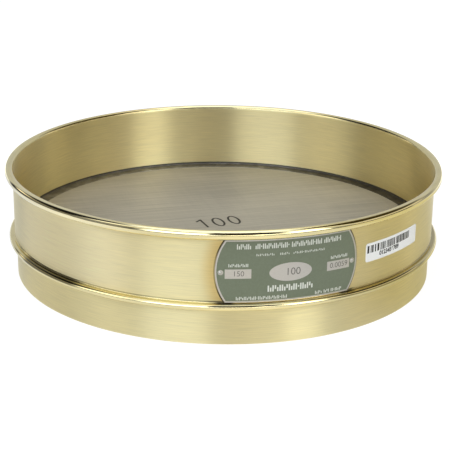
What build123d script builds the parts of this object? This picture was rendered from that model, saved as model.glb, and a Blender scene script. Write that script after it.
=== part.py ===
from build123d import *
import math
import os

# A full-height laboratory test sieve, 12 inch across and 2 inch deep to the cloth.
# Its frame is spun from two brass sheets: an upper frame with a rolled rim, and a
# skirt that nests in the rim of the next sieve down. The two are rolled into one
# another round the edge of the wire cloth, which makes the bead at mid height, and a
# fillet of solder seals the cloth to the wall. An etched plate is pinned to the front.
#
# Millimetres. The origin is the centre of the sieve on the surface that it stands on,
# +Z is up, and the middle of the plate faces -Y.

# --- Driving dimensions -------------------------------------------------------------
BORE_DIAMETER = 304.8  # inside of the frame, which names the size of the sieve
CLOTH_DEPTH = 50.8  # from the top of the rim down to the cloth
OVERALL_HEIGHT = 79.4
SHEET = 0.8  # brass sheet of the frame and the skirt
CUT_PAST = 1.0  # how far a cutting shape runs past what it cuts
RIM_ROLL_DIAMETER = 6.35
RIM_ROLL_END = -132.0  # degrees: where the rim's roll stops, just short of the wall
NEST_CLEARANCE = 0.5  # radial play of the skirt in the rim of a sieve below it

CLOTH_THICKNESS = 0.2  # two crossing wires of 0.1 mm, at 0.25 mm from wire to wire
BEAD_ROLL_INNER = 0.5  # hollow radius at the heart of the mid-height bead
BEAD_ROLL_OFFSET = 2.5  # from the bore out to the middle of the bead
BEAD_LIP_END = -145.0  # degrees: where the frame's lip stops under the bead
CLOTH_LIP_END = -120.0
SKIRT_LIP_END = -150.0
FRAME_FLARE_RADIUS = 0.5  # outside radius of the bend from the wall to the bead
SKIRT_FLARE_RADIUS = 2.95  # so that the straight skirt ends below the bead
EDGE_BREAK = 0.15  # rounded cut edge at the foot of the skirt

# The solder's section, as (in from the bore, up from the cloth): up a blunt toe, along a
# thin apron, and up a hollow to an edge on the wall.
SOLDER_SECTION = [
    (7.5, 0.0),
    (7.3, 0.3),
    (1.7, 0.8),
    (1.0, 1.0),
    (0.5, 1.5),
    (0.3, 2.2),
    (0.0, 2.4),
]

PLATE_WIDTH = 97.3  # round the wall, end to end
PLATE_SQUARE_WIDTH = 84.0  # round the wall, between the corners
PLATE_BOTTOM = 30.0
PLATE_TOP = 72.4
PLATE_THICKNESS = 0.6
PLATE_BORDER = 1.0
ETCH_DEPTH = 0.2
ENAMEL_THICKNESS = 0.14
OVAL_WIDTH = 28.5
OVAL_HEIGHT = 12.5
OVAL_ARC = 0.5  # places on the plate: round the wall from its middle, and height
OVAL_Z = 49.4
BOX_WIDTH = 16.5
BOX_HEIGHT = 6.3
BOX_ARCS = (-33.8, 34.2)
BOX_Z = 49.5

PIN_ARC = 45.0
PIN_Z = 50.5
PIN_SHANK_DIAMETER = 1.6
PIN_DRILL_DEPTH = 5.0  # either way from the plate's face, through the plate and the wall
PIN_HEAD_DIAMETER = 2.6
PIN_HEAD_HEIGHT = 0.7
PIN_LAND_DIAMETER = 3.4  # bare metal left round each pin

LABEL_MIDDLE_ARC = 85.7
LABEL_MIDDLE_Z = 52.4
LABEL_WIDTH = 57.4
LABEL_HEIGHT = 13.0
LABEL_CORNER = 1.6
LABEL_THICKNESS = 0.12

# --- Worked out from them -------------------------------------------------------------
BORE_RADIUS = BORE_DIAMETER / 2
WALL_RADIUS = BORE_RADIUS + SHEET
SKIRT_RADIUS = BORE_RADIUS - NEST_CLEARANCE
SKIRT_BORE_RADIUS = SKIRT_RADIUS - SHEET

RIM_RADIUS = RIM_ROLL_DIAMETER / 2
RIM_CENTRE = (BORE_RADIUS + RIM_RADIUS, OVERALL_HEIGHT - RIM_RADIUS)

CLOTH_TOP = OVERALL_HEIGHT - CLOTH_DEPTH
CLOTH_BOTTOM = CLOTH_TOP - CLOTH_THICKNESS
SKIRT_ROLL_RADIUS = BEAD_ROLL_INNER + SHEET
CLOTH_ROLL_RADIUS = SKIRT_ROLL_RADIUS + CLOTH_THICKNESS
BEAD_RADIUS = CLOTH_ROLL_RADIUS + SHEET
BEAD_CENTRE = (BORE_RADIUS + BEAD_ROLL_OFFSET, CLOTH_TOP - CLOTH_ROLL_RADIUS)

FRAME_FLARE_CENTRE = (WALL_RADIUS + FRAME_FLARE_RADIUS, CLOTH_TOP + SHEET + FRAME_FLARE_RADIUS)
SKIRT_FLARE_CENTRE = (SKIRT_RADIUS + SKIRT_FLARE_RADIUS, CLOTH_BOTTOM - SHEET - SKIRT_FLARE_RADIUS)

PLATE_MIDDLE_Z = (PLATE_TOP + PLATE_BOTTOM) / 2
PLATE_FACE_RADIUS = WALL_RADIUS + PLATE_THICKNESS
ETCH_RADIUS = PLATE_FACE_RADIUS - ETCH_DEPTH


# --- How a section is drawn and spun --------------------------------------------------
def arc(centre, radius, start, end):
    """An arc of a section, from one angle to another, in degrees."""
    return CenterArc(centre, radius, start, end - start)


def roll_end(centre, start_radius, end_radius, angle):
    """The cut edge of a rolled sheet, from one face of it to the other."""
    turn = math.radians(angle)
    start = (centre[0] + start_radius * math.cos(turn), centre[1] + start_radius * math.sin(turn))
    end = (centre[0] + end_radius * math.cos(turn), centre[1] + end_radius * math.sin(turn))
    return Line(start, end)


def spin(*edges):
    """Spin a closed section, drawn as radius and height, about the sieve's axis."""
    section = make_face(edges)
    return revolve(Plane.XZ * section, Axis.Z)


# --- How something flat is wrapped on the wall ----------------------------------------
def across(arc_length, radius=WALL_RADIUS):
    """How far a place on the wall, given round it, lies to the side of the middle."""
    return radius * math.sin(arc_length / radius)


def wrap(outline, inner_radius, outer_radius):
    """Bend a flat outline, drawn as seen from the front, into a shell on the wall."""
    blank = extrude(Plane.XZ * outline, outer_radius + CUT_PAST)
    tube = Cylinder(outer_radius, OVERALL_HEIGHT, align=(Align.CENTER, Align.CENTER, Align.MIN))
    core = Cylinder(inner_radius, OVERALL_HEIGHT, align=(Align.CENTER, Align.CENTER, Align.MIN))
    return blank & (tube - core)


def pin_seat(side):
    """Where a pin goes through the wall: its origin on the plate's face, z outwards."""
    turn = side * PIN_ARC / WALL_RADIUS
    outwards = (math.sin(turn), -math.cos(turn), 0)
    foot = (PLATE_FACE_RADIUS * outwards[0], PLATE_FACE_RADIUS * outwards[1], PIN_Z)
    return Plane(origin=foot, z_dir=outwards)


def pin_hole(side):
    """What is drilled out of the plate and the wall for a pin."""
    return pin_seat(side) * Cylinder(PIN_SHANK_DIAMETER / 2, 2 * PIN_DRILL_DEPTH)


# --- The spun frame -------------------------------------------------------------------
def upper_frame():
    """The wall of the bowl, rolled outwards at the rim and over the bead at its foot."""
    wall_foot = FRAME_FLARE_CENTRE[1]
    flange_start = FRAME_FLARE_CENTRE[0]
    frame = spin(
        # inside: under the lip, over the skirt's roll, round the bend and up the bowl
        arc(BEAD_CENTRE, CLOTH_ROLL_RADIUS, BEAD_LIP_END, 90),
        Line((BEAD_CENTRE[0], CLOTH_TOP), (flange_start, CLOTH_TOP)),
        arc(FRAME_FLARE_CENTRE, FRAME_FLARE_RADIUS + SHEET, 270, 180),
        Line((BORE_RADIUS, wall_foot), (BORE_RADIUS, RIM_CENTRE[1])),
        # the rim's roll, out and back
        arc(RIM_CENTRE, RIM_RADIUS, 180, RIM_ROLL_END),
        roll_end(RIM_CENTRE, RIM_RADIUS, RIM_RADIUS - SHEET, RIM_ROLL_END),
        arc(RIM_CENTRE, RIM_RADIUS - SHEET, RIM_ROLL_END, 180),
        # outside: down the wall, round the bend and over the bead
        Line((WALL_RADIUS, RIM_CENTRE[1]), (WALL_RADIUS, wall_foot)),
        arc(FRAME_FLARE_CENTRE, FRAME_FLARE_RADIUS, 180, 270),
        Line((flange_start, CLOTH_TOP + SHEET), (BEAD_CENTRE[0], CLOTH_TOP + SHEET)),
        arc(BEAD_CENTRE, BEAD_RADIUS, 90, BEAD_LIP_END),
        roll_end(BEAD_CENTRE, BEAD_RADIUS, CLOTH_ROLL_RADIUS, BEAD_LIP_END),
    )
    for side in (-1, 1):
        frame -= pin_hole(side)
    return frame


def skirt():
    """The lower ring, flared and rolled at its top to carry the edge of the cloth."""
    flare_foot = SKIRT_FLARE_CENTRE[1]
    flange_start = SKIRT_FLARE_CENTRE[0]
    flange_bottom = CLOTH_BOTTOM - SHEET
    ring = spin(
        Line((SKIRT_RADIUS, 0), (SKIRT_RADIUS, flare_foot)),
        arc(SKIRT_FLARE_CENTRE, SKIRT_FLARE_RADIUS, 180, 90),
        Line((flange_start, flange_bottom), (BEAD_CENTRE[0], flange_bottom)),
        arc(BEAD_CENTRE, BEAD_ROLL_INNER, 90, SKIRT_LIP_END),
        roll_end(BEAD_CENTRE, BEAD_ROLL_INNER, SKIRT_ROLL_RADIUS, SKIRT_LIP_END),
        arc(BEAD_CENTRE, SKIRT_ROLL_RADIUS, SKIRT_LIP_END, 90),
        Line((BEAD_CENTRE[0], CLOTH_BOTTOM), (flange_start, CLOTH_BOTTOM)),
        arc(SKIRT_FLARE_CENTRE, SKIRT_FLARE_RADIUS + SHEET, 90, 180),
        Line((SKIRT_BORE_RADIUS, flare_foot), (SKIRT_BORE_RADIUS, 0)),
        Line((SKIRT_BORE_RADIUS, 0), (SKIRT_RADIUS, 0)),
    )
    foot_edges = ring.edges().group_by(Axis.Z)[0]
    return fillet(foot_edges, EDGE_BREAK)


def sieve_cloth():
    """The wire cloth: flat across the bowl, and turned down over the skirt's roll."""
    middle = (0, CLOTH_TOP)
    return spin(
        Line(middle, (BEAD_CENTRE[0], CLOTH_TOP)),
        arc(BEAD_CENTRE, CLOTH_ROLL_RADIUS, 90, CLOTH_LIP_END),
        roll_end(BEAD_CENTRE, CLOTH_ROLL_RADIUS, SKIRT_ROLL_RADIUS, CLOTH_LIP_END),
        arc(BEAD_CENTRE, SKIRT_ROLL_RADIUS, CLOTH_LIP_END, 90),
        Line((BEAD_CENTRE[0], CLOTH_BOTTOM), (0, CLOTH_BOTTOM)),
        Line((0, CLOTH_BOTTOM), middle),
    )


def solder_fillet():
    """The ring of solder in the corner of the wall and the cloth, with a thin apron."""
    shape = [(BORE_RADIUS - inwards, CLOTH_TOP + up) for inwards, up in SOLDER_SECTION]
    # behind, it is cut off short of the bend in the frame, which it touches at 45 degrees
    bend = FRAME_FLARE_RADIUS + SHEET
    bevel = bend * math.tan(math.radians(22.5))
    shape.append((BORE_RADIUS, FRAME_FLARE_CENTRE[1] - bevel))
    shape.append((FRAME_FLARE_CENTRE[0] - bevel, CLOTH_TOP))
    return spin(*[Line(start, end) for start, end in zip(shape, shape[1:] + shape[:1])])


# --- The name plate ---------------------------------------------------------------------
def plate_outline():
    """Straight along the top and the bottom, and bowed at both ends."""
    corner = across(PLATE_SQUARE_WIDTH / 2)
    end = across(PLATE_WIDTH / 2)
    half = (PLATE_TOP - PLATE_BOTTOM) / 2
    bow = make_face(
        [
            Line((-corner, half), (corner, half)),
            ThreePointArc((corner, half), (end, 0), (corner, -half)),
            Line((corner, -half), (-corner, -half)),
            ThreePointArc((-corner, -half), (-end, 0), (-corner, half)),
        ]
    )
    return Pos(0, PLATE_MIDDLE_Z) * bow


def etched_field():
    """What the etching lowers: all but the border, the oval, the boxes and the pins."""
    field = offset(plate_outline(), -PLATE_BORDER)
    field -= Pos(across(OVAL_ARC), OVAL_Z) * Ellipse(OVAL_WIDTH / 2, OVAL_HEIGHT / 2)
    for box_arc in BOX_ARCS:
        field -= Pos(across(box_arc), BOX_Z) * Rectangle(BOX_WIDTH, BOX_HEIGHT)
    for side in (-1, 1):
        field -= Pos(across(side * PIN_ARC), PIN_Z) * Circle(PIN_LAND_DIAMETER / 2)
    return field


def name_plate():
    """Sheet metal with its field etched down round a border, an oval and two boxes."""
    plate = wrap(plate_outline(), WALL_RADIUS, PLATE_FACE_RADIUS)
    plate -= wrap(etched_field(), ETCH_RADIUS, PLATE_FACE_RADIUS + CUT_PAST)
    for side in (-1, 1):
        plate -= pin_hole(side)
    return plate


def plate_enamel():
    """The colour that fills the etched field, a little lower than the bare metal."""
    return wrap(etched_field(), ETCH_RADIUS, ETCH_RADIUS + ENAMEL_THICKNESS)


def plate_pin(side):
    """A drive pin with a domed head, through the plate and the wall, flush inside."""
    shank_end = -(PLATE_THICKNESS + SHEET)
    shank = PIN_SHANK_DIAMETER / 2
    head = PIN_HEAD_DIAMETER / 2
    dome = (head**2 + PIN_HEAD_HEIGHT**2) / (2 * PIN_HEAD_HEIGHT)
    dome_middle = (0, PIN_HEAD_HEIGHT - dome)
    dome_edge = math.degrees(math.asin((dome - PIN_HEAD_HEIGHT) / dome))
    section = make_face(
        [
            Line((0, shank_end), (shank, shank_end)),
            Line((shank, shank_end), (shank, 0)),
            Line((shank, 0), (head, 0)),
            arc(dome_middle, dome, dome_edge, 90),
            Line((0, PIN_HEAD_HEIGHT), (0, shank_end)),
        ]
    )
    return pin_seat(side) * revolve(Plane.XZ * section, Axis.Z)


def stock_label():
    """A paper label with rounded corners, stuck on the wall beside the plate."""
    left = across(-LABEL_WIDTH / 2)
    right = across(LABEL_WIDTH / 2)
    paper = RectangleRounded(right - left, LABEL_HEIGHT, LABEL_CORNER)
    turn = math.degrees(LABEL_MIDDLE_ARC / WALL_RADIUS)
    label = wrap(Pos(0, LABEL_MIDDLE_Z) * paper, WALL_RADIUS, WALL_RADIUS + LABEL_THICKNESS)
    return Rot(0, 0, turn) * label


# --- Build and write --------------------------------------------------------------------
pieces = {
    "upper_frame": upper_frame(),
    "skirt": skirt(),
    "sieve_cloth": sieve_cloth(),
    "solder_fillet": solder_fillet(),
    "name_plate": name_plate(),
    "plate_enamel": plate_enamel(),
    "plate_pin_left": plate_pin(-1),
    "plate_pin_right": plate_pin(1),
    "stock_label": stock_label(),
}
os.makedirs("parts", exist_ok=True)
for node, solid in pieces.items():
    export_step(solid, f"parts/{node}.step")
    print(node, round(solid.volume, 1), "mm3")
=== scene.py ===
# %% [markdown]
# # A brass test sieve
#
# A laboratory test sieve is a shallow brass drum with a wire cloth across it. Two sheets
# of brass are spun to shape and rolled into one another round the edge of the cloth.
# The solids already exist as a CAD frame, which is loaded first. This lesson gives them
# finer skins where a spun shape has to look smooth, prints the markings, and then spends
# most of its care on the metal, because a brushed brass wall is nearly all reflection.

# %% Load the frame
from math import cos, degrees, pi, radians, sin

import bmesh
import bpy
from mathutils import Matrix, Vector


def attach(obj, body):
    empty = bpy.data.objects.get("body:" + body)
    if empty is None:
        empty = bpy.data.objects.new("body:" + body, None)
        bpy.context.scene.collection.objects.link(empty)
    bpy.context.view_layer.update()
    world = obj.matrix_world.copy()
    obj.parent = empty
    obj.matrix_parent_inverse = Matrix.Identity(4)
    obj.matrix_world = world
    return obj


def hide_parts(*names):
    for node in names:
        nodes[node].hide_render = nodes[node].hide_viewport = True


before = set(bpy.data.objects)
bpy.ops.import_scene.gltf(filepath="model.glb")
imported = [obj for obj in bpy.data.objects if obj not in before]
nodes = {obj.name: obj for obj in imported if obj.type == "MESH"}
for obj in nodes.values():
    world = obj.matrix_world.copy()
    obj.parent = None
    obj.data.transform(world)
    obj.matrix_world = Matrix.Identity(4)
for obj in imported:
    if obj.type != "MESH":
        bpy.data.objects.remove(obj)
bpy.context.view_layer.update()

print("nodes:", ", ".join(sorted(nodes)))

# %% [markdown]
# ## Sizes
#
# Every size is in millimetres as on the drawing, and MM turns it into Blender's metres.
# The sieve stands on z = 0, its axis is the z axis, and its plate faces -Y.

# %% Sizes of the frame
MM = 0.001
SHEET = 0.8
BORE_RADIUS = 152.4
WALL_RADIUS = BORE_RADIUS + SHEET
RIM_RADIUS = 3.175
RIM_CENTRE = (155.575, 76.225)  # centres are given as distance from the axis and height
FRAME_BEND_CENTRE = (153.7, 29.9)
BEAD_CENTRE = (154.9, 27.1)
CLOTH_TOP = 28.6
SKIRT_ROLL_RADIUS = 0.9  # to the middle of the sheet
SKIRT_BEND_CENTRE = (154.85, 24.65)
SKIRT_RADIUS = 151.9
SPIN_STEPS = 400
print("bore", 2 * BORE_RADIUS, "mm, cloth at", CLOTH_TOP, "mm")

# %% [markdown]
# ## Working in edit mode from a script
#
# A script picks parts of a mesh by where they are, as a hand would with a box. These
# helpers open a piece in edit mode, pick what passes a test, and close it again.

# %% Helpers to select and to edit
def deselect_all():
    bpy.ops.object.select_all(action="DESELECT")


def open_piece(piece):
    """Only this piece is selected, active and in edit mode."""
    deselect_all()
    piece.select_set(True)
    bpy.context.view_layer.objects.active = piece
    bpy.ops.object.mode_set(mode="EDIT")


def close_piece():
    bpy.ops.object.mode_set(mode="OBJECT")


def pick(piece, kind, test):
    """Selects the vertices, edges or faces whose middle, in mm, passes the test."""
    bpy.ops.mesh.select_mode(type=kind)
    bpy.ops.mesh.select_all(action="DESELECT")
    mesh = bmesh.from_edit_mesh(piece.data)
    parts = {"VERT": mesh.verts, "EDGE": mesh.edges, "FACE": mesh.faces}[kind]
    picked = 0
    for part in parts:
        corners = [part] if kind == "VERT" else part.verts
        middle = sum((v.co for v in corners), Vector()) / len(corners) / MM
        if test(middle):
            part.select_set(True)
            picked += 1
    bmesh.update_edit_mesh(piece.data)
    return picked


def apply_place(piece):
    """Moves the place, turn and scale of the object into its mesh."""
    deselect_all()
    piece.select_set(True)
    bpy.context.view_layer.objects.active = piece
    bpy.ops.object.transform_apply(location=True, rotation=True, scale=True)


def apply_modifier(piece, kind, **settings):
    deselect_all()
    piece.select_set(True)
    bpy.context.view_layer.objects.active = piece
    modifier = piece.modifiers.new(kind.title(), kind)
    for name, value in settings.items():
        setattr(modifier, name, value)
    bpy.ops.object.modifier_apply(modifier=modifier.name)


def smooth(piece, angle):
    deselect_all()
    piece.select_set(True)
    bpy.context.view_layer.objects.active = piece
    bpy.ops.object.shade_smooth_by_angle(angle=radians(angle))


def join(pieces, name):
    """Several meshes become one piece."""
    deselect_all()
    for piece in pieces:
        piece.select_set(True)
    bpy.context.view_layer.objects.active = pieces[0]
    bpy.ops.object.join()
    pieces[0].name = name
    return pieces[0]


print("helpers to select and to edit are ready")


# %% [markdown]
# ## The spun sheets
#
# A metal spinner presses a turning disc of brass over a former. In Blender the same
# shape comes from half a section that the spin operator turns about the axis. The
# section is the middle of the sheet: a circle is cut open for the roll, its end is
# extruded down the wall, and small spins about their own centres make each bend. The
# Solidify modifier then gives the sheet its thickness on both sides. Short extrusions
# beside each bend keep the shading of a long flat wall from being tilted by its
# neighbour, which a mirror-like metal would show at once.

# %% Helpers to draw a section and to spin it
SUPPORT = 0.35  # mm, the short length next to a bend


def new_roll(name, centre, radius, steps, first, last):
    """A circle in the XZ plane, cut open so that it runs from first up to last degrees."""
    deselect_all()
    bpy.ops.mesh.primitive_circle_add(
        vertices=steps,
        radius=radius * MM,
        location=(centre[0] * MM, 0, centre[1] * MM),
        rotation=(pi / 2, 0, 0),
    )
    roll = bpy.context.object
    roll.name = name
    apply_place(roll)
    open_piece(roll)
    half_step = 180 / steps

    def in_the_gap(p):
        turn = degrees(Vector((1, 0)).angle_signed(Vector((p.x - centre[0], centre[1] - p.z))))
        past = (turn - first) % 360
        return last - first + half_step < past < 360 - half_step

    pick(roll, "VERT", in_the_gap)
    bpy.ops.mesh.delete(type="VERT")
    return roll


def pick_point(piece, rho, z):
    found = pick(piece, "VERT", lambda p: (p - Vector((rho, 0, z))).length < 0.02)
    assert found == 1, f"{found} points at {rho}, {z}"


def draw_line(rho_step, z_step):
    """Extrudes the picked end, with a short length at both ends of the run."""
    run = Vector((rho_step, 0, z_step))
    support = run.normalized() * SUPPORT
    parts = [support, run - 2 * support, support] if run.length > 3 * SUPPORT else [run]
    for part in parts:
        bpy.ops.mesh.extrude_vertices_move(TRANSFORM_OT_translate={"value": part * MM})


def draw_bend(centre, turn, steps):
    """Spins the picked end about a centre, anticlockwise from the front if turn is above 0."""
    bpy.ops.mesh.spin(
        steps=steps,
        angle=-radians(turn),
        center=(centre[0] * MM, 0, centre[1] * MM),
        axis=(0, -1, 0),
    )


def spin_sheet(piece, steps, thickness):
    """Turns the open section about the sieve's axis and gives the sheet its thickness."""
    bpy.ops.mesh.select_all(action="SELECT")
    bpy.ops.mesh.spin(steps=steps, angle=2 * pi, center=(0, 0, 0), axis=(0, 0, 1))
    bpy.ops.mesh.select_all(action="SELECT")
    bpy.ops.mesh.remove_doubles(threshold=0.005 * MM)
    bpy.ops.mesh.normals_make_consistent(inside=False)
    close_piece()
    apply_modifier(
        piece, "SOLIDIFY", thickness=thickness * MM, offset=0, use_even_offset=True
    )
    smooth(piece, 40)


def report(piece):
    low = [min(v.co[i] for v in piece.data.vertices) / MM for i in range(3)]
    high = [max(v.co[i] for v in piece.data.vertices) / MM for i in range(3)]
    triangles = sum(len(p.vertices) - 2 for p in piece.data.polygons)
    print(piece.name, "from", [round(v, 2) for v in low], "to", [round(v, 2) for v in high],
          "mm,", triangles, "triangles")


print("support lengths of", SUPPORT, "mm")


# %% [markdown]
# ## The upper frame
#
# From the rim down: the roll, which stops just short of the wall, the wall itself, a
# tight bend outwards, and the lip that is rolled over the edge of the cloth and the
# skirt, which makes the bead.

# %% Spin the upper frame
middle_radius = BORE_RADIUS + SHEET / 2
upper = new_roll(
    "brass_upper_frame", RIM_CENTRE, RIM_RADIUS - SHEET / 2, steps=60, first=-132, last=180
)
pick_point(upper, middle_radius, RIM_CENTRE[1])
draw_line(0, FRAME_BEND_CENTRE[1] - RIM_CENTRE[1])
draw_bend(FRAME_BEND_CENTRE, turn=90, steps=6)
draw_line(BEAD_CENTRE[0] - FRAME_BEND_CENTRE[0], 0)
draw_bend(BEAD_CENTRE, turn=-235, steps=24)
spin_sheet(upper, SPIN_STEPS, SHEET)
report(upper)

# %% [markdown]
# ## The skirt
#
# The skirt hangs below the bead and fits into the rim of the next sieve of a stack. Its
# top is rolled up inside the bead. Its cut foot is a bright thin edge, so that edge gets
# a small bevel, which catches light as a filed edge does.

# %% Spin the skirt
FOOT_RADIUS = SKIRT_RADIUS - SHEET / 2
skirt = new_roll("brass_skirt", BEAD_CENTRE, SKIRT_ROLL_RADIUS, steps=36, first=-150, last=90)
pick_point(skirt, BEAD_CENTRE[0], BEAD_CENTRE[1] + SKIRT_ROLL_RADIUS)
draw_line(SKIRT_BEND_CENTRE[0] - BEAD_CENTRE[0], 0)
draw_bend(SKIRT_BEND_CENTRE, turn=90, steps=9)
draw_line(0, -SKIRT_BEND_CENTRE[1])
spin_sheet(skirt, SPIN_STEPS, SHEET)
open_piece(skirt)
pick(skirt, "EDGE", lambda p: abs(p.z) < 0.01 and abs(p.xy.length - FOOT_RADIUS) > 0.2)
bpy.ops.mesh.bevel(offset=0.15 * MM, segments=2, affect="EDGES")
close_piece()
smooth(skirt, 40)
report(skirt)

# %% [markdown]
# ## The solder
#
# Soft solder is run round the corner of the wall and the cloth, so that no grain can hide
# there. It climbs the wall in a small hollow and runs in over the wires as a thin apron.
# Its section starts as a quarter of a circle, the hollow, and is closed round the back.
# Solder freezes unevenly, so a Displace modifier ripples only the face that shows.

# %% Spin the solder
HOLLOW_CENTRE = (150.7, 30.8)
HOLLOW_RADIUS = 1.4
HOLLOW_TOP = (152.1, 30.8)
HOLLOW_FOOT = (150.7, 29.4)
BACK = [(152.4, 31.0), (152.4, 29.4), (153.1, 28.6), (144.9, 28.6), (145.0, 28.85)]
APRON = [(145.9, 28.95), (146.9, 29.03), (147.9, 29.12), (148.9, 29.21), (149.8, 29.3)]
SOLDER_STEPS = 720
solder = new_roll("solder_ring", HOLLOW_CENTRE, HOLLOW_RADIUS, steps=36, first=-90, last=0)
pick_point(solder, *HOLLOW_TOP)
here = HOLLOW_TOP
for there in BACK + APRON + [HOLLOW_FOOT]:
    step = Vector((there[0] - here[0], 0, there[1] - here[1])) * MM
    bpy.ops.mesh.extrude_vertices_move(TRANSFORM_OT_translate={"value": step})
    here = there
bpy.ops.mesh.select_all(action="SELECT")
bpy.ops.mesh.remove_doubles(threshold=0.01 * MM)
bpy.ops.mesh.spin(steps=SOLDER_STEPS, angle=2 * pi, center=(0, 0, 0), axis=(0, 0, 1))
bpy.ops.mesh.select_all(action="SELECT")
bpy.ops.mesh.remove_doubles(threshold=0.005 * MM)
bpy.ops.mesh.normals_make_consistent(inside=False)
# only the hollow and the apron ripple, and not the back against the wall and the cloth
pick(solder, "VERT", lambda p: 145.2 < p.xy.length < 152.3 and p.z > 28.7)
bpy.ops.object.vertex_group_add()
bpy.ops.object.vertex_group_assign()
close_piece()
ripple = bpy.data.textures.new("solder_ripple", "CLOUDS")
ripple.noise_scale = 5 * MM
apply_modifier(
    solder, "DISPLACE", texture=ripple, texture_coords="LOCAL", direction="NORMAL",
    vertex_group="Group", strength=0.3 * MM, mid_level=0.5,
)
smooth(solder, 60)
report(solder)

# %% [markdown]
# ## Marks that lie on the curved wall
#
# Marks are laid out flat, as a printer does, and then bent to the wall. Simple Deform
# bends about the origin by an angle over the whole width, so the angle is the width
# divided by the radius, and a second move puts the bend's centre on the sieve's axis.

# %% Helpers to lay out marks and to bend them
CAPITAL_HEIGHT = 0.72  # of a digit, as a share of the font's size
INK_LIFT = 0.01  # mm, from the face that carries print up to the middle of its ink


def new_mark(name, arc, z, width, height):
    """A flat rectangle that faces the front: where its middle is, and its size, in mm."""
    deselect_all()
    bpy.ops.mesh.primitive_plane_add(
        size=MM, location=(arc * MM, 0, z * MM), rotation=(pi / 2, 0, 0)
    )
    mark = bpy.context.object
    mark.name = name
    mark.scale = (width, height, 1)
    apply_place(mark)
    return mark


def new_number(name, digits, arc, z, height, boldness=0.0):
    """A plain number, standing up and facing the front. Boldness widens its strokes, in mm."""
    deselect_all()
    bpy.ops.object.text_add(location=(arc * MM, 0, z * MM), rotation=(pi / 2, 0, 0))
    number = bpy.context.object
    number.name = name
    number.data.body = digits
    number.data.size = height / CAPITAL_HEIGHT * MM
    number.data.offset = boldness * MM
    number.data.align_x = "CENTER"
    number.data.align_y = "CENTER"
    bpy.ops.object.convert(target="MESH")
    number = bpy.context.object
    apply_place(number)
    return number


def new_row(name, first, last, low, high, pitch, stroke, spaces=()):
    """A row of upright strokes from first to last, with some left out for spaces."""
    row = new_mark(name, first + stroke / 2, (low + high) / 2, stroke, high - low)
    count = int((last - first - stroke) / pitch) + 1
    apply_modifier(
        row, "ARRAY", count=count, use_relative_offset=False, use_constant_offset=True,
        constant_offset_displace=(pitch * MM, 0, 0),
    )
    open_piece(row)
    pick(row, "FACE", lambda p: any(a < p.x < b for a, b in spaces))
    bpy.ops.mesh.delete(type="FACE")
    # every third stroke is cut at the top and every fifth at the foot, so that it reads as print
    pick(row, "EDGE", lambda p: round((p.x - first) / pitch) % 3 == 1 and p.z > high - 0.01)
    bpy.ops.transform.translate(value=(0, 0, -0.35 * (high - low) * MM))
    pick(row, "EDGE", lambda p: round((p.x - first) / pitch) % 5 == 3 and p.z < low + 0.01)
    bpy.ops.transform.translate(value=(0, 0, 0.4 * (high - low) * MM))
    close_piece()
    return row


def bend_to_wall(piece, radius, middle_arc=0.0, thickness=0.02):
    """Gives flat marks a thickness and bends them to a radius, middle_arc round the wall."""
    apply_modifier(piece, "SOLIDIFY", thickness=thickness * MM, offset=0)
    width = max(v.co.x for v in piece.data.vertices) - min(v.co.x for v in piece.data.vertices)
    apply_modifier(
        piece, "SIMPLE_DEFORM", deform_method="BEND", deform_axis="Z",
        angle=width / (radius * MM),
    )
    piece.location = (0, -radius * MM, 0)
    apply_place(piece)
    piece.rotation_euler = (0, 0, middle_arc / WALL_RADIUS)
    apply_place(piece)


print("ink is centred", INK_LIFT, "mm over the face that carries it")


# %% [markdown]
# ## The plate's marks
#
# The real plate is etched, and its lettering is bare metal left level with the border,
# so the marks sit at the border's height over the enamel. A plate such as this states
# what the sieve is. Here its words are only rows of plain strokes, and the two boxes and
# the oval carry the plain numbers of the cloth: its count and its opening.

# %% Lay out the plate's marks
PLATE_FACE_RADIUS = WALL_RADIUS + 0.6
ETCHED_STEP = 0.06  # mm, from the enamel up to the border
rows = [
    # name, first, last, low, high, pitch, stroke, spaces
    new_row("title", -34.8, 36.0, 66.1, 69.6, 1.18, 0.62,
            [(-25.2, -23.0), (-1.2, 0.6), (21.0, 22.8)]),
    new_row("subtitle", -22.3, 24.0, 61.3, 62.8, 1.1, 0.45, [(-10.6, -7.6), (-1.0, 1.4)]),
    new_row("left_caption", -40.0, -27.2, 54.2, 56.3, 1.0, 0.5),
    new_row("right_caption", 28.4, 41.8, 54.2, 56.3, 1.0, 0.5),
    new_row("bold_line", -14.7, 16.8, 36.7, 40.9, 1.55, 0.95),
    new_row("left_foot", -35.0, -1.0, 31.6, 33.9, 1.02, 0.5),
    new_row("right_foot", 17.7, 37.2, 31.7, 33.9, 1.05, 0.55, [(22.5, 23.6), (28.4, 29.5)]),
]
plate_marks = join(rows, "plate_marks")
bend_to_wall(plate_marks, PLATE_FACE_RADIUS - ETCHED_STEP / 2, thickness=ETCHED_STEP)
report(plate_marks)

numbers = [
    # name, digits, place round the wall, place up it, height
    new_number("count", "100", 2.0, 49.3, 5.0),
    new_number("metric_opening", "150", -33.6, 49.5, 3.6),
    new_number("inch_opening", "0.0059", 34.6, 49.5, 3.6),
]
plate_numbers = join(numbers, "plate_numbers")
bend_to_wall(plate_numbers, PLATE_FACE_RADIUS + INK_LIFT, thickness=0.03)
report(plate_numbers)

# %% [markdown]
# ## The label's print
#
# A stock label carries bars and a plain row of digits. The bars are unequal, so each
# width is listed, and nothing is encoded in them.

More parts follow.
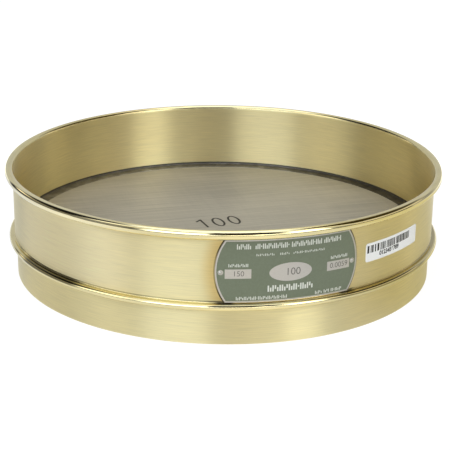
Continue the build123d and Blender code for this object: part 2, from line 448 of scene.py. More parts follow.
# %% Lay out the label's print
LABEL_ARC = 85.7  # the label's middle, round the wall from the plate's
LABEL_FACE_RADIUS = WALL_RADIUS + 0.12
BARS_FROM, BARS_TO = 58.3, 106.0
BARS_Z, BAR_HEIGHT = 54.5, 5.2
BAR_WIDTHS = (1.7, 0.7, 1.4, 1.1, 1.8, 0.9, 0.6, 1.2, 0.8, 0.6, 1.0, 0.7, 1.3, 0.8, 0.6, 1.1, 0.7)
LAST_BAR_ROOM = 1.7  # no bar starts closer to the end than this
WIDE_SPACE, CLOSE_SPACE = 1.3, 0.5
WIDE_SPACE_AFTER = (1, 3, 4, 5, 9, 16)  # counted in bars from the left
DIGITS_ARC, DIGITS_Z = 80.3, 49.6

bars = []
left = BARS_FROM - LABEL_ARC
while left < BARS_TO - LABEL_ARC - LAST_BAR_ROOM:
    width = BAR_WIDTHS[len(bars) % len(BAR_WIDTHS)]
    bars.append(new_mark("bar", left + width / 2, BARS_Z, width, BAR_HEIGHT))
    left += width + (WIDE_SPACE if len(bars) in WIDE_SPACE_AFTER else CLOSE_SPACE)
label_bars = join(bars, "label_bars")
bend_to_wall(label_bars, LABEL_FACE_RADIUS + INK_LIFT, LABEL_ARC)
label_digits = new_number(
    "label_digits", "0123456789", DIGITS_ARC - LABEL_ARC, DIGITS_Z, height=3.0, boldness=0.16
)
bend_to_wall(label_digits, LABEL_FACE_RADIUS + INK_LIFT, LABEL_ARC)
report(label_bars)
report(label_digits)

# %% [markdown]
# ## The number on the cloth
#
# Somebody has painted the count of the cloth on its wires by hand: a leaning one and two
# tall rings. Each ring is a filled circle, squeezed to an oval, inset by the width of the
# stroke and emptied. The one is a bar with a second bar for its flag.

# %% Paint the number on the cloth
PAINT_STROKE = 1.6
PAINT_THICKNESS = 0.02
PAINT_Z = CLOTH_TOP + PAINT_THICKNESS


def new_ring(name, x, y, width, height, lean):
    """A ring of paint round a place on the cloth, which leans by an angle in degrees."""
    deselect_all()
    bpy.ops.mesh.primitive_circle_add(vertices=48, radius=MM / 2, fill_type="NGON")
    ring = bpy.context.object
    ring.name = name
    ring.scale = (width, height, 1)
    apply_place(ring)
    open_piece(ring)
    bpy.ops.mesh.select_all(action="SELECT")
    bpy.ops.mesh.inset(thickness=PAINT_STROKE * MM)
    bpy.ops.mesh.delete(type="FACE")
    close_piece()
    ring.rotation_euler = (0, 0, radians(lean))
    ring.location = (x * MM, y * MM, PAINT_Z * MM)
    apply_place(ring)
    return ring


def new_stroke(name, start, end):
    """A bar of paint between two places on the cloth."""
    run = Vector(end) - Vector(start)
    middle = (Vector(start) + Vector(end)) / 2
    deselect_all()
    bpy.ops.mesh.primitive_plane_add(size=MM)
    stroke = bpy.context.object
    stroke.name = name
    stroke.scale = (run.length + PAINT_STROKE, PAINT_STROKE, 1)
    apply_place(stroke)
    stroke.rotation_euler = (0, 0, run.to_2d().angle_signed(Vector((1, 0))))
    stroke.location = (middle.x * MM, middle.y * MM, PAINT_Z * MM)
    apply_place(stroke)
    return stroke


painted = [
    new_stroke("one_stem", (-14.2, 12.9), (-12.6, -3.4)),
    new_stroke("one_flag", (-14.2, 12.9), (-17.8, 9.6)),
    new_ring("first_ring", -2.1, 5.4, 9.2, 19.0, lean=3),
    new_ring("second_ring", 10.4, 6.9, 9.0, 18.6, lean=3),
]
cloth_number = join(painted, "cloth_number")
apply_modifier(cloth_number, "SOLIDIFY", thickness=PAINT_THICKNESS * MM, offset=0)
report(cloth_number)

# %% [markdown]
# ## Node trees from a script
#
# A short helper adds a node, sets it and feeds its inputs, either with a value or with
# another node's output, so that a material reads from top to bottom. The others stand on
# it: sums, soft steps from 0 to 1, and mixtures of values and of colours.

# %% Helpers for node trees
def feed(tree, socket, value):
    if isinstance(value, bpy.types.NodeSocket):
        tree.links.new(value, socket)
    else:
        socket.default_value = value


def add(tree, kind, inputs=None, **settings):
    made = tree.nodes.new("ShaderNode" + kind)
    for name, value in settings.items():
        setattr(made, name, value)
    for name, value in (inputs or {}).items():
        feed(tree, made.inputs[name], value)
    return made


def calculate(tree, operation, *values):
    made = add(tree, "Math", operation=operation)
    for socket, value in zip(made.inputs, values):
        feed(tree, socket, value)
    return made.outputs[0]


def product(tree, *values):
    result = values[0]
    for value in values[1:]:
        result = calculate(tree, "MULTIPLY", result, value)
    return result


def highest(tree, *values):
    result = values[0]
    for value in values[1:]:
        result = calculate(tree, "MAXIMUM", result, value)
    return result


def rise(tree, value, start, end):
    """0 at start, 1 at end, with soft ends. start may be above end."""
    made = add(
        tree, "MapRange",
        {"Value": value, "From Min": start, "From Max": end},
        interpolation_type="SMOOTHSTEP",
    )
    return made.outputs[0]


def mix_values(tree, mask, first, second):
    made = add(tree, "Mix", data_type="FLOAT")
    for index, value in ((0, mask), (2, first), (3, second)):
        feed(tree, made.inputs[index], value)
    return made.outputs[0]


def mix_colours(tree, mask, first, second):
    made = add(tree, "Mix", data_type="RGBA")
    for index, value in ((0, mask), (6, first), (7, second)):
        feed(tree, made.inputs[index], value)
    return made.outputs[2]


def scale_colour(tree, tint, factor):
    return add(tree, "VectorMath", {0: tint, 1: factor}, operation="MULTIPLY").outputs[0]


print("helpers for nodes are ready")

# %% [markdown]
# ## Groups and materials
#
# A group keeps one effect in one place for several materials. It gives out only values,
# and the shader stays outside it, where its own sockets hold what is constant.

# %% Helpers for groups and materials
def new_group(name, inputs, outputs):
    group = bpy.data.node_groups.new(name, "ShaderNodeTree")
    for socket_name, kind, default in inputs:
        socket = group.interface.new_socket(
            name=socket_name, in_out="INPUT", socket_type=kind
        )
        socket.default_value = default
    for socket_name, kind in outputs:
        group.interface.new_socket(name=socket_name, in_out="OUTPUT", socket_type=kind)
    given = group.nodes.new("NodeGroupInput").outputs
    wanted = group.nodes.new("NodeGroupOutput").inputs
    return group, given, wanted


def use_group(tree, group, inputs=None):
    made = add(tree, "Group", node_tree=group)
    for name, value in (inputs or {}).items():
        feed(tree, made.inputs[name], value)
    return made.outputs


def new_material(name, **constants):
    """A material with one Principled BSDF, whose constants are set on its own sockets."""
    material = bpy.data.materials.new(name)
    material.use_nodes = True
    shader = material.node_tree.nodes["Principled BSDF"]
    for socket_name, value in constants.items():
        shader.inputs[socket_name.replace("_", " ")].default_value = value
    return material, material.node_tree, shader


def plain_material(name, base_colour, **constants):
    return new_material(name, Base_Color=base_colour, **constants)[0]


def colour(red, green, blue):
    return (red, green, blue, 1.0)


def paint(piece, material):
    piece.data.materials.clear()
    piece.data.materials.append(material)


print("helpers for materials are ready")


# %% [markdown]
# ## Brushed lines
#
# The wall was brushed while it turned, so its scratches run round it. Noise that is
# stretched about thirty times further round than up makes such lines. The cloth, the
# solder and the plate use the same lines at their own stretch, so this is a group.

# %% The group of brushed lines
lines_group, given, wanted = new_group(
    "brushed_lines",
    [("Stretch", "NodeSocketVector", (1, 1, 1)), ("Place", "NodeSocketVector", (0, 0, 0))],
    [("Lines", "NodeSocketFloat"), ("Clouds", "NodeSocketFloat")],
)
where = add(lines_group, "TexCoord").outputs["Object"]
stretched = add(
    lines_group, "Mapping",
    {"Vector": where, "Scale": given["Stretch"], "Location": given["Place"]},
).outputs[0]
fine = add(
    lines_group, "TexNoise",
    {"Vector": stretched, "Scale": 1.0, "Detail": 3.0, "Roughness": 0.6},
)
broad = add(
    lines_group, "TexNoise",
    {"Vector": where, "Scale": 9.0, "Detail": 2.0, "Roughness": 0.5},
)
lines_group.links.new(fine.outputs[0], wanted["Lines"])
lines_group.links.new(broad.outputs[0], wanted["Clouds"])
print("group", lines_group.name)

# %% [markdown]
# ## Brass
#
# Brushed brass spreads a reflection across its scratches, up and down here, and hardly
# along them. That is anisotropy: the Tangent node points round the axis, and a quarter
# turn of the Principled shader's anisotropy spreads the light upright. One function makes
# the brass of both sheets, and masks say where each differs from plain brushed brass.

# %% The brass shader
PALE_BRASS = colour(0.85, 0.75, 0.42)
# the next colour is a painted sheen: a paler brass where the wall mirrors more light
SHEEN_BRASS = colour(0.99, 0.885, 0.56)
DEEP_BRASS = colour(0.80, 0.60, 0.24)
# the next colour is painted shade and dim reflection, for creases, gaps, the bead and the rim
PAINTED_SHADE_TINT = colour(0.03, 0.025, 0.015)
FRAME_ROUGHNESS = 0.43
SKIRT_ROUGHNESS = 0.41
POLISHED_ROUGHNESS = 0.07
ROUGHNESS_SPREAD = 0.12  # between the smoothest and the roughest scratch
SCRATCHES = (55, 55, 1700)  # their stretch


def brass(name, roughness, masks):
    """Brushed brass. Four masks say where it is polished, browner, painted paler as a sheen, and
    painted with shade and dim reflections.
    """
    material, tree, shader = new_material(
        name, Metallic=1.0, Anisotropic=1.0, Anisotropic_Rotation=0.25
    )
    lines = use_group(tree, lines_group, {"Stretch": SCRATCHES})
    polished, browner, painted_sheen, shade_and_reflection = [mask(tree) for mask in masks]

    clouds = product(tree, rise(tree, lines["Clouds"], 0.4, 0.7), 0.18)
    tint = mix_colours(tree, highest(tree, browner, clouds), PALE_BRASS, DEEP_BRASS)
    # a painted sheen pales the brass where it mirrors more light
    tint = mix_colours(tree, painted_sheen, tint, SHEEN_BRASS)
    # painted shade and dim reflections, nearly black
    tint = mix_colours(tree, shade_and_reflection, tint, PAINTED_SHADE_TINT)
    shade = calculate(tree, "MULTIPLY_ADD", lines["Lines"], 0.34, 0.82)
    feed(tree, shader.inputs["Base Color"], scale_colour(tree, tint, shade))

    smoothest = roughness - ROUGHNESS_SPREAD / 2
    rough = calculate(tree, "MULTIPLY_ADD", lines["Lines"], ROUGHNESS_SPREAD, smoothest)
    rough = mix_values(tree, polished, rough, POLISHED_ROUGHNESS)
    feed(tree, shader.inputs["Roughness"], rough)
    height = product(tree, lines["Lines"], calculate(tree, "SUBTRACT", 1.0, polished))
    bump = add(tree, "Bump", {"Height": height, "Strength": 0.35, "Distance": 0.03 * MM})
    feed(tree, shader.inputs["Normal"], bump.outputs[0])
    tangent = add(tree, "Tangent", direction_type="RADIAL", axis="Z")
    feed(tree, shader.inputs["Tangent"], tangent.outputs[0])
    return material


print("brass is brushed to a roughness of", FRAME_ROUGHNESS, "and", SKIRT_ROUGHNESS)

# %% [markdown]
# ## Masks from a place on the sieve
#
# The sieve is round, so a mask is easiest to state by height, by distance from the axis
# and by bearing, which is the angle to the right of the plate's middle. Object coordinates
# give all three, and the metal then keeps its marks whichever way it is turned.

# %% Helpers for masks
def place_in_mm(tree):
    """Object coordinates in mm: x, y, z, and the distance from the axis."""
    where = add(tree, "TexCoord").outputs["Object"]
    parts = add(tree, "SeparateXYZ", {"Vector": where}).outputs
    x, y, z = (product(tree, part, 1 / MM) for part in parts)
    squares = calculate(tree, "ADD", product(tree, x, x), product(tree, y, y))
    return x, y, z, calculate(tree, "SQRT", squares)


def bearing_of(tree, x, y):
    """The bearing of a place on the sieve, in degrees to the right of the plate's middle."""
    bearing = calculate(tree, "ARCTAN2", x, product(tree, y, -1.0))
    return calculate(tree, "DEGREES", bearing)


def near(tree, value, middle, none_at, full_at):
    """1 close to the middle and 0 far from it."""
    away = calculate(tree, "ABSOLUTE", calculate(tree, "SUBTRACT", value, middle))
    return rise(tree, away, none_at, full_at)


def between(tree, value, none_under, full_from, full_to, none_over):
    """1 between two levels, with soft edges, and 0 beyond them."""
    from_below = rise(tree, value, none_under, full_from)
    return product(tree, from_below, rise(tree, value, none_over, full_to))


def outside(tree, rho):
    """1 on the outside of the wall and 0 on its inside."""
    return rise(tree, rho, BORE_RADIUS + 0.2, WALL_RADIUS - 0.2)


print("the wall's outside begins at", BORE_RADIUS + 0.2, "mm from the axis")

# %% [markdown]
# ## Where the brass is polished
#
# The spinner's tool burnishes what it rolls, so the rim and the bead are nearly a mirror.
# The skirt's foot was cut and then filed, so only its very edge is bright.

# %% Masks of the polished places
RIM_BOTTOM = 73.4
RIM_CREST = 77.2
BEAD_TOP = 30.1


def no_mask(tree):
    return 0.0


def frame_polish(tree):
    *_, z, rho = place_in_mm(tree)
    rim = product(tree, rise(tree, z, RIM_BOTTOM - 0.5, RIM_BOTTOM), outside(tree, rho))
    crest = rise(tree, z, RIM_CREST, RIM_CREST + 1.0)
    bead = rise(tree, z, BEAD_TOP, BEAD_TOP - 0.3)
    return highest(tree, rim, crest, bead)


def skirt_polish(tree):
    z = place_in_mm(tree)[2]
    return rise(tree, z, 0.35, 0.1)


print("polished above", RIM_BOTTOM, "mm and below", BEAD_TOP, "mm")

# %% [markdown]
# ## Where the brass is browner, and its painted sheen
#
# Handling and polishing never wear a wall evenly. It is browner against the ends of the
# plate, which keep a cloth away. It is painted paler beside the plate, a painted sheen where
# the wall mirrors more light. The plate's ends are arcs of a circle, so the distance from
# that circle gives a halo that follows them.

# %% Masks of the browner places and of the painted sheen
PLATE_MIDDLE_Z = 51.2
PLATE_HALF_HEIGHT = 21.2
PLATE_BOW_ARC = 11.53  # from the plate's middle, round the wall, to the centre of the bow
PLATE_BOW_RADIUS = 37.12


def beyond_plate(tree, bearing, z):
    """How far, in mm, a place on the wall lies beyond the plate's round end."""
    arc = calculate(tree, "ABSOLUTE", product(tree, bearing, radians(WALL_RADIUS)))
    along = calculate(tree, "SUBTRACT", arc, PLATE_BOW_ARC)
    up = calculate(tree, "SUBTRACT", z, PLATE_MIDDLE_Z)
    squares = calculate(tree, "MULTIPLY_ADD", along, along, product(tree, up, up))
    return calculate(tree, "SUBTRACT", calculate(tree, "SQRT", squares), PLATE_BOW_RADIUS)


def beside_plate(tree, x, y, full_at):
    """1 at the front of the sieve, to the left and to the right of the plate's middle."""
    sideways = rise(tree, calculate(tree, "ABSOLUTE", x), 38.0, full_at)
    return product(tree, sideways, rise(tree, y, -60.0, -100.0))


def frame_browner(tree):
    """Browner beside the plate's ends, and more so at the left."""
    x, y, z, rho = place_in_mm(tree)
    halo = rise(tree, beyond_plate(tree, bearing_of(tree, x, y), z), 12.0, 1.0)
    level = near(
        tree, z, PLATE_MIDDLE_Z,
        none_at=PLATE_HALF_HEIGHT + 0.6, full_at=PLATE_HALF_HEIGHT - 1.7,
    )
    strength = calculate(tree, "MULTIPLY_ADD", rise(tree, x, 10.0, -10.0), 0.5, 0.35)
    beside = beside_plate(tree, x, y, 42.0)
    return product(tree, beside, halo, level, outside(tree, rho), strength)


def frame_sheen(tree):
    """A painted sheen: paler left of the plate, and a little so at its right."""
    x, y, z, rho = place_in_mm(tree)
    bearing = bearing_of(tree, x, y)
    left = near(tree, bearing, -62.0, none_at=32.0, full_at=12.0)
    right = product(tree, near(tree, bearing, 33.0, none_at=22.0, full_at=12.0), 0.5)
    above_bead = rise(tree, z, 30.2, 31.0)
    return product(tree, highest(tree, left, right), outside(tree, rho), above_bead)


print("the plate's ends are bowed to", PLATE_BOW_RADIUS, "mm")

# %% [markdown]
# ## Painted shade and dark reflections on the brass
#
# Shade is painted in the crease over the bead, in the thin gap round the plate and under
# the plate's corners, and dark reflections are painted along the bead and along the rim's
# roll. Each is a narrow mask of its own, and the strongest one counts.

# %% Masks of the painted shade and dark reflections
CREASE_Z = 30.3
PLATE_CORNER_BEARING = 15.7


def at_left(tree, bearing):
    """The stretch far left of the plate where the painted shade and reflections are darkest."""
    return near(tree, bearing, -66.0, none_at=14.0, full_at=9.0)


def rim_reflection(tree, bearing, z, rho):
    """Painted dark reflection on the rim's roll: nearly black at the left, brown at the right."""
    left = product(
        tree, near(tree, bearing, -60.0, none_at=28.0, full_at=22.0), 0.85,
        between(tree, z, 76.9, 77.2, 78.0, 78.3),
    )
    right = product(
        tree, near(tree, bearing, 29.0, none_at=24.0, full_at=16.0), 0.5,
        between(tree, z, 77.2, 77.5, 78.5, 78.8),
    )
    return product(tree, highest(tree, left, right), rise(tree, rho, 156.0, 156.6))


def crease_shade(tree, bearing, z):
    """Painted shade in the crease over the bead: stronger in two places, and lower at the right.
    """
    under_plate = near(tree, bearing, -8.0, none_at=16.0, full_at=6.0)
    thick = highest(tree, at_left(tree, bearing), under_plate)
    line_z = calculate(tree, "MULTIPLY_ADD", rise(tree, bearing, 16.0, 20.0), -0.6, CREASE_Z)
    line = near(tree, z, line_z, none_at=0.65, full_at=0.25)
    return product(tree, line, calculate(tree, "MULTIPLY_ADD", thick, 0.5, 0.45))


def bead_shade_and_reflection(tree, bearing, z):
    """Painted dark reflection down the bead at the left and along it at the right, and painted
    shade under the plate's corners.
    """
    left = product(
        tree, between(tree, z, 26.6, 27.4, 30.2, 30.6), at_left(tree, bearing), 0.8
    )
    below = calculate(tree, "MULTIPLY_ADD", rise(tree, z, 27.0, 27.5), 0.3, 0.22)
    right = product(
        tree, below, rise(tree, z, 29.1, 28.8),
        near(tree, bearing, 29.0, none_at=23.0, full_at=14.0),
    )
    off_middle = calculate(tree, "ABSOLUTE", bearing)
    corners = product(
        tree, near(tree, off_middle, PLATE_CORNER_BEARING, none_at=2.8, full_at=1.2),
        near(tree, z, 30.0, none_at=1.0, full_at=0.5), 0.8,
    )
    return highest(tree, left, right, corners)


def plate_gap_shade(tree, x, y, bearing, z):
    """Painted shade in the gap round the plate's ends, darker towards its corners."""
    gap = rise(tree, beyond_plate(tree, bearing, z), 1.1, 0.5)
    level = near(
        tree, z, PLATE_MIDDLE_Z, none_at=PLATE_HALF_HEIGHT + 0.6, full_at=PLATE_HALF_HEIGHT
    )
    to_corner = calculate(tree, "ABSOLUTE", calculate(tree, "SUBTRACT", z, PLATE_MIDDLE_Z))
    strength = calculate(tree, "MULTIPLY_ADD", rise(tree, to_corner, 5.0, 17.0), 0.5, 0.42)
    return product(tree, gap, beside_plate(tree, x, y, 40.5), level, strength)


# painted shade and dark reflections, only on the outside of the wall
def frame_painted_shade(tree):
    x, y, z, rho = place_in_mm(tree)
    bearing = bearing_of(tree, x, y)
    shade_and_reflection = highest(
        tree, crease_shade(tree, bearing, z), bead_shade_and_reflection(tree, bearing, z),
        plate_gap_shade(tree, x, y, bearing, z), rim_reflection(tree, bearing, z, rho),
    )
    return product(tree, shade_and_reflection, outside(tree, rho))


frame_masks = (frame_polish, frame_browner, frame_sheen, frame_painted_shade)
paint(upper, brass("spun_brass", FRAME_ROUGHNESS, frame_masks))
skirt_masks = (skirt_polish, no_mask, no_mask, no_mask)
paint(skirt, brass("skirt_brass", SKIRT_ROUGHNESS, skirt_masks))
print("painted", upper.name, "and", skirt.name)

# %% [markdown]
# ## Wire cloth
#
# The cloth is woven of wires a tenth of a millimetre thick, a quarter of a millimetre
# apart, which is far finer than the eye can part from here. Two crossing waves raise the
# wires, and long faint streaks show where the wires of the roll were drawn unequally.

# %% The cloth's material and its paint
WIRE_PITCH = 0.254
weave_group, given, wanted = new_group(
    "weave", [("Pitch", "NodeSocketFloat", WIRE_PITCH * MM)], [("Height", "NodeSocketFloat")]
)
where = add(weave_group, "TexCoord").outputs["Object"]
parts = add(weave_group, "SeparateXYZ", {"Vector": where}).outputs
waves = []
for part in parts[:2]:
    phase = calculate(weave_group, "DIVIDE", part, given["Pitch"])
    waves.append(calculate(weave_group, "SINE", product(weave_group, phase, 2 * pi)))
woven = calculate(weave_group, "ABSOLUTE", product(weave_group, *waves))
weave_group.links.new(woven, wanted["Height"])


def wire_cloth(name, wire_colour):
    """Woven wire, streaked along the roll and a little across it."""
    material, tree, shader = new_material(name, Metallic=0.75, Roughness=0.55)
    streaks = use_group(tree, lines_group, {"Stretch": (14, 420, 1)})
    cross = use_group(tree, lines_group, {"Stretch": (300, 10, 1), "Place": (3, 5, 0)})
    spread = calculate(tree, "MULTIPLY_ADD", streaks["Lines"], 0.6, 0.68)
    clouds = rise(tree, streaks["Clouds"], 0.45, 0.65)
    spread = calculate(tree, "MULTIPLY_ADD", clouds, -0.12, spread)
    spread = calculate(tree, "MULTIPLY_ADD", cross["Lines"], 0.12, spread)
    feed(tree, shader.inputs["Base Color"], scale_colour(tree, wire_colour, spread))
    height = use_group(tree, weave_group)["Height"]
    bump = add(tree, "Bump", {"Height": height, "Strength": 0.3, "Distance": 0.05 * MM})
    feed(tree, shader.inputs["Normal"], bump.outputs[0])
    return material


paint(nodes["sieve_cloth"], wire_cloth("wire_cloth", (0.50, 0.46, 0.37)))
paint(cloth_number, wire_cloth("painted_wire", (0.045, 0.038, 0.028)))
print("wires", WIRE_PITCH, "mm apart")

# %% [markdown]
# ## Solder
#
# The solder is dull and mottled. Painted shade darkens it where it climbs the wall, and
# painted light and shade make it lighter at the left and darker to the right. It is a metal
# too, but a rough one, so it needs no special care with reflections.

# %% The solder's material
SOLDER_DARK = colour(0.14, 0.13, 0.11)
SOLDER_LIGHT = colour(0.24, 0.23, 0.205)
# the next colour is painted shade, for the corner where the solder climbs the wall
SOLDER_CORNER_SHADE = colour(0.05, 0.045, 0.037)

soft_solder, tree, shader = new_material("soft_solder", Metallic=0.85)
mottle = use_group(tree, lines_group, {"Stretch": (110, 110, 110)})
tone = rise(tree, mottle["Lines"], 0.35, 0.7)
x, _, z, _ = place_in_mm(tree)
# painted light at the left and painted shade at the right
side_light_and_shade = calculate(tree, "MULTIPLY_ADD", rise(tree, x, 30.0, 140.0), -0.8, 1.25)
grey = scale_colour(tree, mix_colours(tree, tone, SOLDER_DARK, SOLDER_LIGHT), side_light_and_shade)
grey = mix_colours(tree, rise(tree, z, 29.3, 30.4), grey, SOLDER_CORNER_SHADE)
feed(tree, shader.inputs["Base Color"], grey)
feed(tree, shader.inputs["Roughness"], mix_values(tree, tone, 0.46, 0.3))
paint(solder, soft_solder)
print("painted", solder.name)

# %% [markdown]
# ## The plate
#
# The plate's bare metal has a fine grain and its enamel a fine speckle. Both take the same
# lines as the brass, at their own stretch. The marks are set apart only by being brighter,
# and the stamped numbers by being dark.

# %% The plate's materials
def grained(name, stretch, first, second, **constants):
    """A material whose colour varies finely between two."""
    material, tree, shader = new_material(name, **constants)
    grain = use_group(tree, lines_group, {"Stretch": stretch})["Lines"]
    feed(tree, shader.inputs["Base Color"], mix_colours(tree, grain, first, second))
    return material


paint(nodes["name_plate"], grained(
    "plate_metal", (500, 500, 2500), colour(0.50, 0.47, 0.43), colour(0.62, 0.59, 0.54),
    Metallic=0.85, Roughness=0.42,
))
paint(nodes["plate_enamel"], grained(
    "etched_enamel", (700, 700, 700), colour(0.13, 0.155, 0.095), colour(0.18, 0.205, 0.135),
    Roughness=0.42,
))
mark_metal = plain_material(
    "mark_metal", colour(0.72, 0.73, 0.66), Metallic=0.3, Roughness=0.45
)
paint(plate_marks, mark_metal)
paint(plate_numbers, plain_material("stamped_shadow", colour(0.16, 0.15, 0.13), Roughness=0.6))
pin_metal = plain_material(
    "pin_metal", colour(0.52, 0.51, 0.47), Metallic=1.0, Roughness=0.28
)
for side in ("left", "right"):
    paint(nodes[f"plate_pin_{side}"], pin_metal)
print("painted the plate, its marks and its pins")

# %% [markdown]
# ## The label
#
# The label is smooth paper under black ink. Neither is a metal, so one colour and one
# roughness are enough for each.

# %% The label's materials
label_paper = plain_material("label_paper", colour(0.86, 0.86, 0.84), Roughness=0.6)
label_ink = plain_material("label_ink", colour(0.02, 0.02, 0.02), Roughness=0.5)
paint(nodes["stock_label"], label_paper)
paint(label_bars, label_ink)
paint(label_digits, label_ink)
print(len(bpy.data.materials), "materials")

# %% [markdown]
# ## Handing the pieces over
#
# The three spun skins stand in for the CAD solids of the same name, and the marks are
# pieces of their own. Nothing on a sieve moves, so everything rides on the root.

# %% Hand the finished pieces over
stand_ins = {
    upper: ("upper_frame", "frame_brass"),
    skirt: ("skirt", "skirt_brass"),
    solder: ("solder_fillet", "solder"),
}
for piece, (node, slot) in stand_ins.items():
    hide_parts(node)
marks = {
    plate_marks: "plate_metal", plate_numbers: "plate_metal", label_bars: "label_paper",
    label_digits: "label_paper", cloth_number: "wire_cloth",
}
for piece in list(stand_ins) + list(marks):
    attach(piece, "root")
    print(piece.name, "rides on root")

# %% [markdown]
# ## The studio
#
# Metal shows the room, so the room is designed first. It is painted in the world by
# direction, as soft-edged patches of light laid one over another: two large soft boxes in
# front, left and right of the camera, a dimmer shoulder beyond each, a dark gap between
# them where the camera stands, dark flags with a low strip of light at the sides, a bright
# ceiling and a lamp over the back wall. The camera sees plain white behind the sieve.

# %% The patches of light
VIEW_TURN = -16.36  # degrees from the plate's middle to the camera
PATCHES = (
    # azimuth from the camera, half width, elevation, half height, softness, colour
    (0, 181, 81, 16, 4, (1.48, 1.62, 1.88)),  # ceiling
    (176, 32, 62, 6, 10, (1.90, 1.90, 1.90)),  # lamp over the back wall
    (-67.5, 18.5, 31, 23, 7, (1.65, 1.65, 1.57)),  # left shoulder
    (78, 12, 45, 21, 8, (2.50, 2.45, 2.30)),  # right shoulder
    (-22.5, 20.5, 28, 17, 5, (2.76, 2.94, 3.24)),  # left soft box
    (36, 20, 31, 18, 2, (3.35, 3.45, 3.42)),  # right soft box
    (-111, 26, 30, 33, 4, (0.01, 0.01, 0.01)),  # left flag
    (107, 34, 49, 21, 5, (0.08, 0.06, 0.02)),  # right flag
    (14, 22, 46, 24, 2, (0.04, 0.03, 0.03)),  # the gap for the camera
    (12, 11, 9, 7, 4, (3.40, 3.35, 3.20)),  # low strip under the camera
    (14, 95, 4, 5, 2, (0.01, 0.01, 0.01)),  # the table's dark far edge
    (-108, 24, 15, 6, 3, (1.62, 1.50, 1.22)),  # low strip at the left
    (96, 27, 17, 5, 4, (1.65, 1.48, 1.10)),  # low strip at the right
)
SKY = colour(0.57, 0.58, 0.58)
print(len(PATCHES), "patches in the studio")

# %% The group that masks one patch
SOCKETS = (
    "Azimuth", "Elevation", "Middle Azimuth", "Half Width",
    "Middle Elevation", "Half Height", "Softness",
)
patch_group, given, wanted = new_group(
    "soft_patch",
    [(name, "NodeSocketFloat", 0.0) for name in SOCKETS],
    [("Mask", "NodeSocketFloat")],
)
sideways = calculate(patch_group, "SUBTRACT", given["Azimuth"], given["Middle Azimuth"])
sideways = calculate(patch_group, "WRAP", sideways, -180.0, 180.0)
upwards = calculate(patch_group, "SUBTRACT", given["Elevation"], given["Middle Elevation"])
masks = []
for offset, half in ((sideways, given["Half Width"]), (upwards, given["Half Height"])):
    away = calculate(patch_group, "ABSOLUTE", offset)
    outer = calculate(patch_group, "ADD", half, given["Softness"])
    inner = calculate(patch_group, "SUBTRACT", half, given["Softness"])
    masks.append(rise(patch_group, away, outer, inner))
patch_group.links.new(product(patch_group, *masks), wanted["Mask"])
print("group", patch_group.name)


# %% The world
def azimuth_of(tree, vector):
    """The azimuth of a direction or a place, in degrees from the camera's side, and its z."""
    turned = add(
        tree, "VectorRotate", {"Vector": vector, "Angle": radians(-VIEW_TURN)},
        rotation_type="Z_AXIS",
    )
    x, y, z = add(tree, "SeparateXYZ", {"Vector": turned.outputs[0]}).outputs
    return bearing_of(tree, x, y), z


def patched(tree, azimuth, elevation, ground, patches):
    """Lays soft patches of colour over a ground colour, one after another."""
    result = ground
    for middle, half_width, height, half_height, softness, patch in patches:
        mask = use_group(tree, patch_group, {
            "Azimuth": azimuth, "Elevation": elevation, "Middle Azimuth": float(middle),
            "Half Width": float(half_width), "Middle Elevation": float(height),
            "Half Height": float(half_height), "Softness": float(softness),
        })["Mask"]
        result = mix_colours(tree, mask, result, colour(*patch))
    return result


world = bpy.data.worlds.new("studio")
bpy.context.scene.world = world
world.use_nodes = True
tree = world.node_tree
tree.nodes.clear()
azimuth, z = azimuth_of(tree, add(tree, "TexCoord").outputs["Generated"])
elevation = calculate(tree, "DEGREES", calculate(tree, "ARCSINE", z))
painted = patched(tree, azimuth, elevation, SKY, PATCHES)
studio = add(tree, "Background", {"Color": painted}).outputs[0]
plain = add(tree, "Background", {"Color": colour(1, 1, 1), "Strength": 1.0}).outputs[0]
seen = add(tree, "LightPath").outputs["Is Camera Ray"]
chosen = add(tree, "MixShader", {0: seen, 1: studio, 2: plain}).outputs[0]
tree.links.new(chosen, add(tree, "OutputWorld").inputs["Surface"])
print("world", world.name)

# %% [markdown]
# ## The floor
#
# To the camera the floor is white paper that keeps a faint shadow. What the brass mirrors
# of it is less even: bright at the back, cool at the left, and dim and warm at the right.

# %% The floor
FLOOR_SIZE = 8  # metres
FLOOR_DROP = 0.02  # mm under the foot, so that the two don't share a plane
FLOOR_PATCHES = (
    # azimuth from the camera, half width, z, half height, softness, colour
    (180, 44, 0, 90, 15, (1.60, 1.66, 1.75)),
    (-107, 26, 0, 90, 15, (0.77, 0.81, 0.90)),
    (85, 33, 0, 90, 15, (0.71, 0.67, 0.44)),
    (8, 16, 0, 90, 8, (1.04, 1.02, 0.96)),
)
deselect_all()
bpy.ops.mesh.primitive_plane_add(size=FLOOR_SIZE, location=(0, 0, -FLOOR_DROP * MM))
floor = bpy.context.object
floor.name = "floor"
floor_white = bpy.data.materials.new("floor_white")
floor_white.use_nodes = True
tree = floor_white.node_tree
tree.nodes.clear()
azimuth, z = azimuth_of(tree, add(tree, "TexCoord").outputs["Object"])
uneven = patched(tree, azimuth, z, colour(0.90, 0.92, 0.94), FLOOR_PATCHES)
matt = add(tree, "BsdfDiffuse", {"Color": colour(0.85, 0.85, 0.85)}).outputs[0]
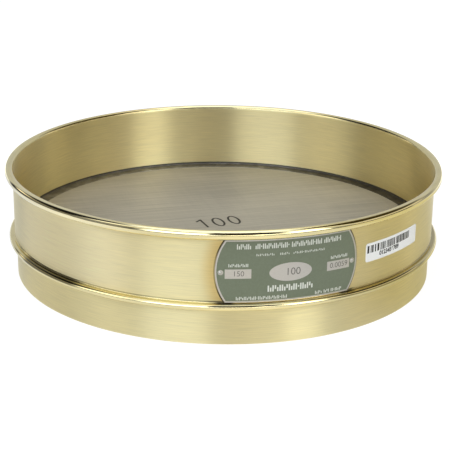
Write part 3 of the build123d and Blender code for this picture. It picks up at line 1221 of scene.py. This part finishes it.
faint = add(tree, "BsdfDiffuse", {"Color": colour(0.18, 0.18, 0.18)}).outputs[0]
glow = add(tree, "Emission", {"Color": colour(1, 1, 1), "Strength": 0.9}).outputs[0]
sheen = add(tree, "Emission", {"Color": uneven, "Strength": 1.0}).outputs[0]
rays = add(tree, "LightPath").outputs
shown = add(tree, "AddShader", {0: glow, 1: faint}).outputs[0]
chosen = add(tree, "MixShader", {0: rays["Is Glossy Ray"], 1: matt, 2: sheen}).outputs[0]
chosen = add(tree, "MixShader", {0: rays["Is Camera Ray"], 1: chosen, 2: shown}).outputs[0]
tree.links.new(chosen, add(tree, "OutputMaterial").inputs["Surface"])
paint(floor, floor_white)
print("floor of", FLOOR_SIZE, "m")

# %% [markdown]
# ## The camera
#
# The camera stands about a metre away and looks down at a shallow angle, a little to the
# left of the plate. It is rolled by less than a degree. A long lens keeps the ellipses of
# the rim, the bead and the foot close to one another in shape.

# %% Camera
ROLL = 0.737  # degrees
LOOK_DOWN = 19.539  # degrees
DISTANCE = 1002.2
TARGET = Vector((1.4125, 0, 27.875))
FOCAL_LENGTH = 107.67
SENSOR_WIDTH = 36
turn = Matrix.Rotation(radians(VIEW_TURN), 3, "Z")
forward = Vector((0, cos(radians(LOOK_DOWN)), -sin(radians(LOOK_DOWN))))
level_up = Vector((0, sin(radians(LOOK_DOWN)), cos(radians(LOOK_DOWN))))
right = cos(radians(ROLL)) * Vector((1, 0, 0)) + sin(radians(ROLL)) * level_up
up = -sin(radians(ROLL)) * Vector((1, 0, 0)) + cos(radians(ROLL)) * level_up
axes = Matrix([turn @ right, turn @ up, turn @ -forward]).transposed().to_4x4()
place = turn @ ((TARGET - forward * DISTANCE) * MM)
bpy.ops.object.camera_add()
camera = bpy.context.object
camera.name = "camera"
camera.data.sensor_width = SENSOR_WIDTH
camera.data.lens = FOCAL_LENGTH
camera.data.clip_start = 0.05
camera.matrix_world = Matrix.Translation(place) @ axes
bpy.context.scene.camera = camera
bpy.context.scene.view_settings.view_transform = "Standard"
print("camera at", [round(v, 4) for v in place])
